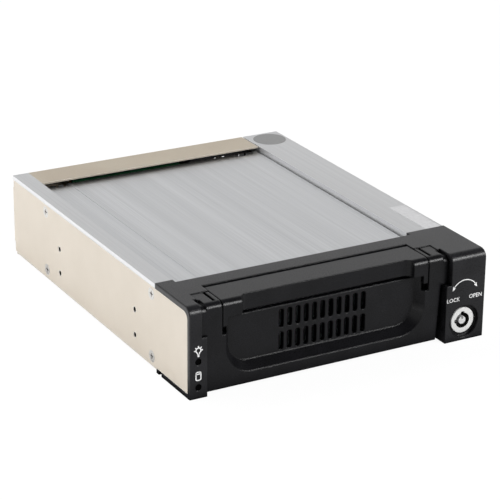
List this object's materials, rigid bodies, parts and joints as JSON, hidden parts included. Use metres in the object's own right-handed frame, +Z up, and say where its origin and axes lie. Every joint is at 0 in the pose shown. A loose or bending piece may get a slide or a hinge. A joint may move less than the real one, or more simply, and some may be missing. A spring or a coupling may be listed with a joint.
{
  "type": "hot swap drive cage",
  "caption": "Half-height bay cage with a lockable pull-out tray that takes a 3.5-inch drive, a swing-up handle, a key lock and a rear fan.",
  "frame": {"origin": "middle of the underside of the cage's bounding box", "axes": "+X to the right seen from the front, +Y to the rear, +Z up; the tray slides out along -Y"},
  "size_m": [0.1464, 0.187, 0.0412],
  "materials": {
    "beige_steel": "fine textured paint",
    "rear_steel": "satin plated steel",
    "brushed_rail": "finely brushed",
    "tray_aluminium": "finely brushed",
    "black_plastic": "fine texture",
    "white_ring": "smooth",
    "plain_steel": "satin",
    "lock_metal": "polished",
    "clear_lens": "smooth",
    "green_board": "satin",
    "runner_plastic": "smooth",
    "dark_screw": "black oxide",
    "fan_plastic": "satin",
    "brass_post": "satin",
    "connector_plastic": "smooth",
    "port_metal": "satin"
  },
  "bodies": {
    "cage": {"base_pan": "beige_steel", "left_side_panel": "beige_steel", "right_side_panel": "beige_steel", "left_rail": "brushed_rail", "right_rail": "brushed_rail", "rear_panel": "rear_steel", "cage_bezel": "black_plastic", "lock_barrel": "white_ring", "lock_nut": "plain_steel", "led_lenses": "clear_lens", "led_board": "green_board", "left_runner": "runner_plastic", "right_runner": "runner_plastic", "left_side_screws": "plain_steel", "right_side_screws": "plain_steel", "rear_screws": "plain_steel", "fan_screws": "dark_screw", "fan_frame": "fan_plastic", "backplane_board": "green_board", "board_standoffs": "brass_post", "backplane_socket": "connector_plastic", "data_port": "port_metal", "power_port": "connector_plastic"},
    "tray": {"tray_body": "tray_aluminium", "tray_cover": "tray_aluminium", "cover_screws": "plain_steel", "tray_front_screws": "plain_steel", "tray_board": "green_board", "drive_connector": "connector_plastic", "tray_plug": "connector_plastic", "tray_bezel": "black_plastic"},
    "handle": {"handle": "black_plastic", "handle_pins": "plain_steel"},
    "lock": {"lock_core": "lock_metal", "lock_cam": "plain_steel", "cam_screw": "plain_steel"},
    "rotor": {"fan_rotor": "fan_plastic"}
  },
  "joints": [
    {"name": "tray_slide", "type": "slide", "parent": "cage", "child": "tray", "axis": [0, -1, 0], "range_m": [0, 0.16]},
    {"name": "handle_pivot", "type": "hinge", "parent": "tray", "child": "handle", "pos_m": [-0.006, -0.0814, 0.0374], "axis": [-1, 0, 0], "range_deg": [0, 60]},
    {"name": "lock_turn", "type": "hinge", "parent": "cage", "child": "lock", "pos_m": [0.0627, -0.0754, 0.009], "axis": [0, -1, 0], "range_deg": [0, 90]},
    {"name": "fan_spin", "type": "hinge", "parent": "cage", "child": "rotor", "pos_m": [0.034, 0.0874, 0.0202], "axis": [0, 1, 0], "continuous": true}
  ]
}
